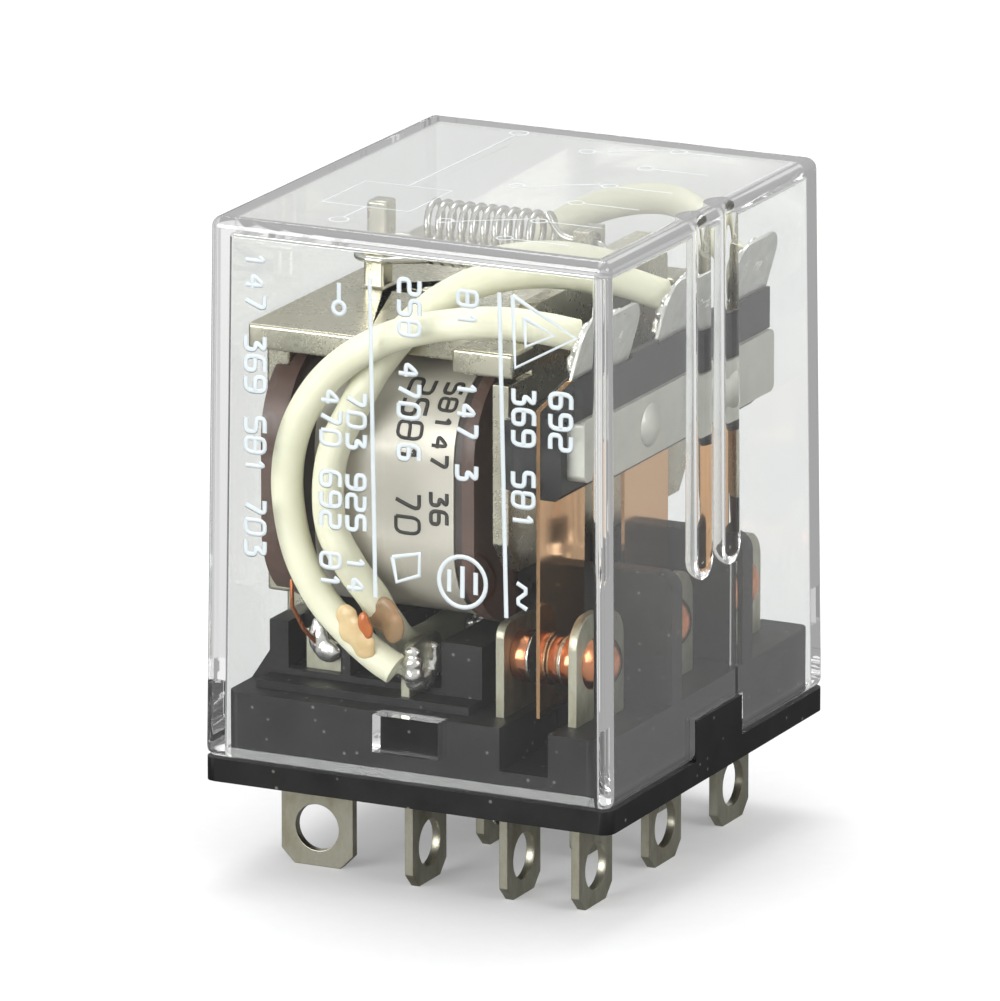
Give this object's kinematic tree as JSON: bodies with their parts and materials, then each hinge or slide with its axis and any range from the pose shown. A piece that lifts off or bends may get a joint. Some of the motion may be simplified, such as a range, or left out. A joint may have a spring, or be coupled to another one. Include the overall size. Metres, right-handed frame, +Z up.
{
  "type": "plug-in relay",
  "caption": "Plug-in electromechanical relay: clear moulded cover over a taped coil, yoke, hinged armature and change-over contacts, on a black base with flat solder blades.",
  "frame": {"origin": "centre of the flange's underside, the face that seats on a socket or panel", "axes": "+Z up from the flange towards the cover's top, +X from the coil end towards the contact end, +Y from the front pole to the rear pole"},
  "size_m": [0.028, 0.0316, 0.0424],
  "materials": {
    "phenolic_black": "dull moulded thermoset",
    "cover_clear": "clear moulded polycarbonate",
    "blade_tinned": "tinned brass, dull",
    "contact_copper": "bare copper",
    "contact_silver": "silver alloy facing",
    "plated_steel": "nickel-plated soft iron",
    "bobbin_brown": "moulded brown plastic",
    "winding_copper": "enamelled copper wire",
    "coil_tape": "dark insulating tape",
    "label_film": "satin silver film",
    "solder": "bright solder",
    "varnish": "clear amber varnish",
    "lead_sleeve": "cream silicone sleeving",
    "spring_wire": "bright spring wire",
    "spring_bronze": "polished phosphor bronze",
    "holder_black": "moulded black plastic",
    "clamp_grey": "dull grey metal"
  },
  "bodies": {
    "base": {"base_moulding": "phenolic_black", "nc_terminal_front": "blade_tinned", "nc_terminal_middle": "blade_tinned", "nc_terminal_rear": "blade_tinned", "no_terminal_front": "blade_tinned", "no_terminal_middle": "blade_tinned", "no_terminal_rear": "blade_tinned", "com_terminal_front": "blade_tinned", "com_terminal_middle": "blade_tinned", "com_terminal_rear": "blade_tinned", "coil_terminal_front": "blade_tinned", "coil_terminal_rear": "blade_tinned", "nc_contact_rivets": "contact_copper", "nc_contact_facings": "contact_silver", "no_contact_rivets": "contact_copper", "no_contact_facings": "contact_silver", "yoke": "plated_steel", "core": "plated_steel", "bobbin": "bobbin_brown", "coil_winding": "winding_copper", "coil_tape": "coil_tape", "coil_label": "label_film", "coil_lead_outs": "winding_copper", "coil_terminal_solder": "solder", "com_terminal_solder": "solder", "varnish_drop": "varnish", "lead_front": "lead_sleeve", "lead_middle": "lead_sleeve", "lead_rear": "lead_sleeve", "return_spring": "spring_wire"},
    "armature": {"armature_plate": "plated_steel", "contact_holder": "holder_black", "clamp_bar": "clamp_grey", "clamp_rivets": "clamp_grey", "moving_spring_front": "spring_bronze", "moving_spring_middle": "spring_bronze", "moving_spring_rear": "spring_bronze", "moving_contact_rivets": "contact_copper", "moving_contact_facings": "contact_silver", "spring_tab_solder": "solder"},
    "cover": {"cover": "cover_clear"}
  },
  "joints": [
    {"name": "armature_hinge", "type": "hinge", "parent": "base", "child": "armature", "pos_m": [0.0044, 0, 0.0271], "axis": [0, 1, 0], "range_deg": [0, 2], "stiffness_Nm_per_rad": 0.01, "springref_deg": -8.59, "deforming": ["return_spring", "lead_front", "lead_middle", "lead_rear"]},
    {"name": "cover_lift", "type": "slide", "parent": "base", "child": "cover", "axis": [0, 0, 1], "range_m": [0, 0.045]}
  ]
}
